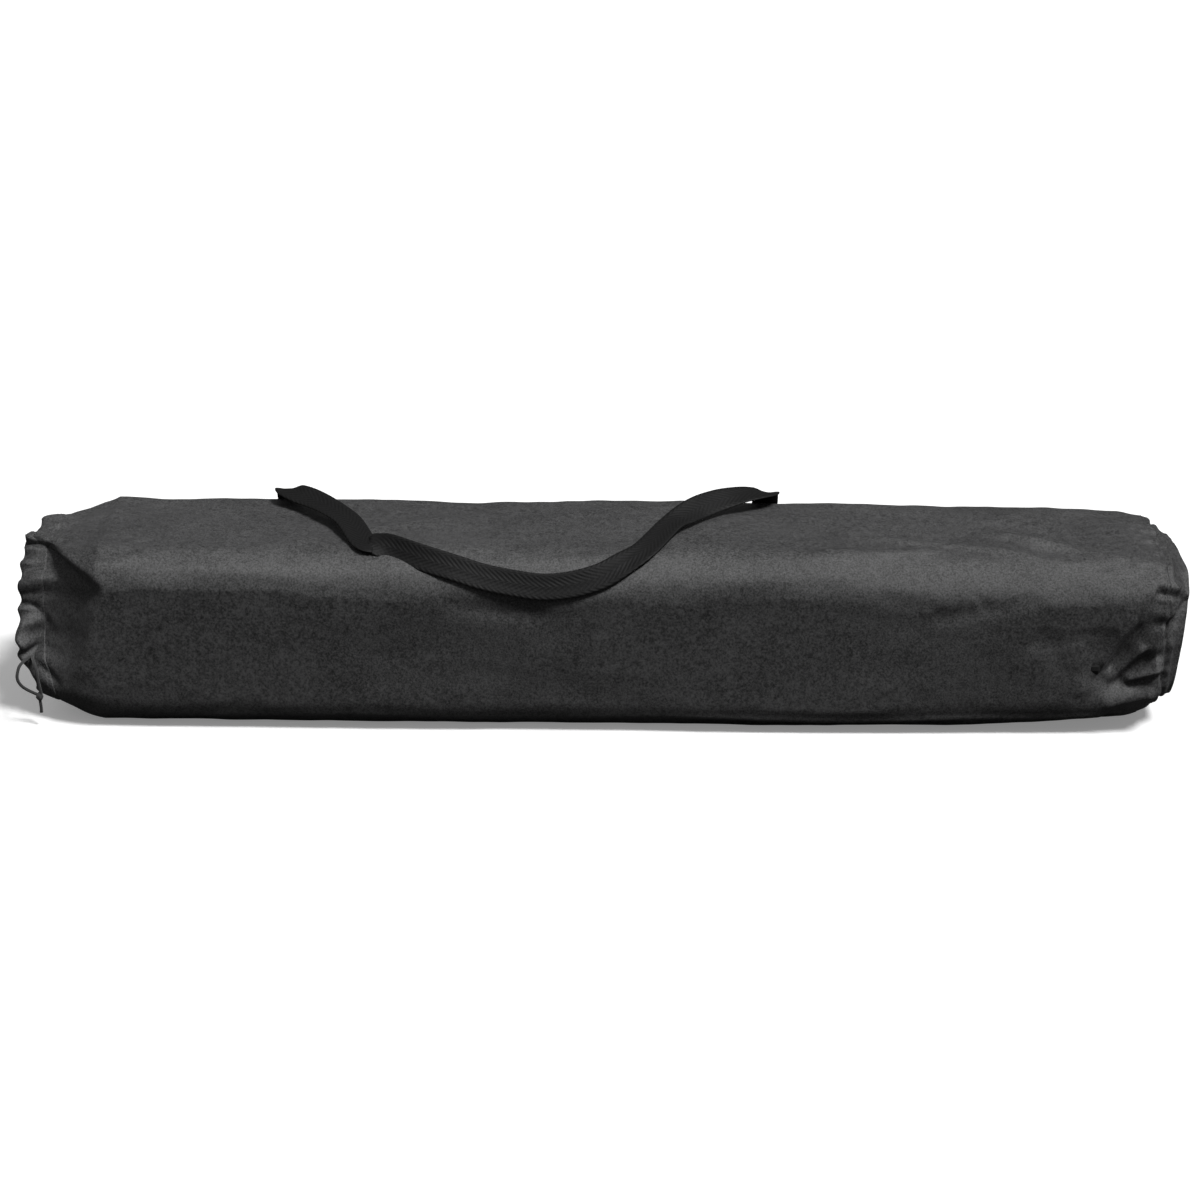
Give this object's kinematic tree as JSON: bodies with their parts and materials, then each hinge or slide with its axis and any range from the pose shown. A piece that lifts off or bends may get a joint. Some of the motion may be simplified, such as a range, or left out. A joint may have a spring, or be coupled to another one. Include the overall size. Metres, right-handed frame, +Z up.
{
  "type": "background support system",
  "caption": "Two folding telescopic light stands and a sectional crossbar packed in a long cloth carry bag with a drawstring mouth and webbing handle.",
  "frame": {"origin": "middle of the bag's footprint, on the surface it lies on", "axes": "+X along the bag from its drawstring mouth to its sewn end, +Y to its back, +Z up"},
  "size_m": [1.1, 0.192, 0.1934],
  "materials": {
    "bag_cloth": "black woven nylon bag cloth",
    "webbing": "black twill webbing",
    "cord": "black braided cord",
    "black_tube": "black anodised tube",
    "black_plastic": "black moulded plastic",
    "rubber": "black rubber",
    "bright_steel": "zinc-plated steel"
  },
  "bodies": {
    "bag": {"bag_base": "bag_cloth", "bag_end_panel": "bag_cloth", "bag_wrap": "bag_cloth", "drawcord": "cord", "drawcord_front_end": "cord", "drawcord_knot": "cord", "drawcord_rear_end": "cord", "handle_anchor_left": "webbing", "handle_anchor_right": "webbing", "mouth_gusset": "bag_cloth", "mouth_hem": "bag_cloth"},
    "handle": {"handle_strap": "webbing"},
    "front_stand": {"front_base_tube": "black_tube", "front_brace_1": "bright_steel", "front_brace_2": "bright_steel", "front_brace_3": "bright_steel", "front_brace_collar": "black_plastic", "front_foot_1": "rubber", "front_foot_2": "rubber", "front_foot_3": "rubber", "front_leg_1": "black_tube", "front_leg_2": "black_tube", "front_leg_3": "black_tube", "front_leg_collar": "black_plastic", "front_lower_lock_collar": "black_plastic"},
    "front_middle": {"front_middle_tube": "black_tube", "front_upper_lock_collar": "black_plastic"},
    "front_upper": {"front_upper_tube": "black_tube", "front_spigot": "bright_steel"},
    "front_leg_collar_knob": {"front_leg_collar_knob": "black_plastic"},
    "front_lower_lock_knob": {"front_lower_lock_knob": "black_plastic"},
    "front_upper_lock_knob": {"front_upper_lock_knob": "black_plastic"},
    "front_wing_nut": {"front_wing_nut": "bright_steel"},
    "rear_stand": {"rear_base_tube": "black_tube", "rear_brace_1": "bright_steel", "rear_brace_2": "bright_steel", "rear_brace_3": "bright_steel", "rear_brace_collar": "black_plastic", "rear_foot_1": "rubber", "rear_foot_2": "rubber", "rear_foot_3": "rubber", "rear_leg_1": "black_tube", "rear_leg_2": "black_tube", "rear_leg_3": "black_tube", "rear_leg_collar": "black_plastic", "rear_lower_lock_collar": "black_plastic"},
    "rear_middle": {"rear_middle_tube": "black_tube", "rear_upper_lock_collar": "black_plastic"},
    "rear_upper": {"rear_upper_tube": "black_tube", "rear_spigot": "bright_steel"},
    "rear_leg_collar_knob": {"rear_leg_collar_knob": "black_plastic"},
    "rear_lower_lock_knob": {"rear_lower_lock_knob": "black_plastic"},
    "rear_upper_lock_knob": {"rear_upper_lock_knob": "black_plastic"},
    "rear_wing_nut": {"rear_wing_nut": "bright_steel"},
    "crossbar_1": {"crossbar_1": "black_tube"},
    "crossbar_2": {"crossbar_2": "black_tube"},
    "crossbar_3": {"crossbar_3": "black_tube"},
    "crossbar_4": {"crossbar_4": "black_tube"}
  },
  "joints": [
    {"name": "handle_swing", "type": "hinge", "parent": "bag", "child": "handle", "pos_m": [-0.072, 0.066, 0.184], "axis": [-1, 0, 0], "range_deg": [0, 180]},
    {"name": "front_stand_slide", "type": "slide", "parent": "bag", "child": "front_stand", "axis": [-1, 0, 0], "range_m": [0, 1.05], "deforming": ["mouth_gusset", "mouth_hem", "drawcord", "drawcord_front_end", "drawcord_rear_end", "drawcord_knot"]},
    {"name": "front_middle_slide", "type": "slide", "parent": "front_stand", "child": "front_middle", "axis": [-1, 0, 0], "range_m": [0, 0.64]},
    {"name": "front_upper_slide", "type": "slide", "parent": "front_middle", "child": "front_upper", "axis": [-1, 0, 0], "range_m": [0, 0.685]},
    {"name": "front_leg_collar_knob_turn", "type": "hinge", "parent": "front_stand", "child": "front_leg_collar_knob", "pos_m": [-0.209, -0.0472, 0.0919], "axis": [0, 0, 1], "range_deg": [0, 360]},
    {"name": "front_lower_lock_knob_turn", "type": "hinge", "parent": "front_stand", "child": "front_lower_lock_knob", "pos_m": [-0.3173, -0.0472, 0.0919], "axis": [0, 0, 1], "range_deg": [0, 360]},
    {"name": "front_upper_lock_knob_turn", "type": "hinge", "parent": "front_middle", "child": "front_upper_lock_knob", "pos_m": [-0.3673, -0.0472, 0.0919], "axis": [0, 0, 1], "range_deg": [0, 360]},
    {"name": "front_wing_nut_turn", "type": "hinge", "parent": "front_upper", "child": "front_wing_nut", "pos_m": [-0.4377, -0.0472, 0.0519], "axis": [-1, 0, 0], "continuous": true},
    {"name": "rear_stand_slide", "type": "slide", "parent": "bag", "child": "rear_stand", "axis": [-1, 0, 0], "range_m": [0, 1.05], "deforming": ["mouth_gusset", "mouth_hem", "drawcord", "drawcord_front_end", "drawcord_rear_end", "drawcord_knot"]},
    {"name": "rear_middle_slide", "type": "slide", "parent": "rear_stand", "child": "rear_middle", "axis": [-1, 0, 0], "range_m": [0, 0.64]},
    {"name": "rear_upper_slide", "type": "slide", "parent": "rear_middle", "child": "rear_upper", "axis": [-1, 0, 0], "range_m": [0, 0.685]},
    {"name": "rear_leg_collar_knob_turn", "type": "hinge", "parent": "rear_stand", "child": "rear_leg_collar_knob", "pos_m": [-0.209, 0.0472, 0.0919], "axis": [0, 0, 1], "range_deg": [0, 360]},
    {"name": "rear_lower_lock_knob_turn", "type": "hinge", "parent": "rear_stand", "child": "rear_lower_lock_knob", "pos_m": [-0.3173, 0.0472, 0.0919], "axis": [0, 0, 1], "range_deg": [0, 360]},
    {"name": "rear_upper_lock_knob_turn", "type": "hinge", "parent": "rear_middle", "child": "rear_upper_lock_knob", "pos_m": [-0.3673, 0.0472, 0.0919], "axis": [0, 0, 1], "range_deg": [0, 360]},
    {"name": "rear_wing_nut_turn", "type": "hinge", "parent": "rear_upper", "child": "rear_wing_nut", "pos_m": [-0.4377, 0.0472, 0.0519], "axis": [-1, 0, 0], "continuous": true},
    {"name": "crossbar_1_slide", "type": "slide", "parent": "bag", "child": "crossbar_1", "axis": [-1, 0, 0], "range_m": [0, 1]},
    {"name": "crossbar_2_slide", "type": "slide", "parent": "bag", "child": "crossbar_2", "axis": [-1, 0, 0], "range_m": [0, 1]},
    {"name": "crossbar_3_slide", "type": "slide", "parent": "bag", "child": "crossbar_3", "axis": [-1, 0, 0], "range_m": [0, 1]},
    {"name": "crossbar_4_slide", "type": "slide", "parent": "bag", "child": "crossbar_4", "axis": [-1, 0, 0], "range_m": [0, 1]}
  ]
}
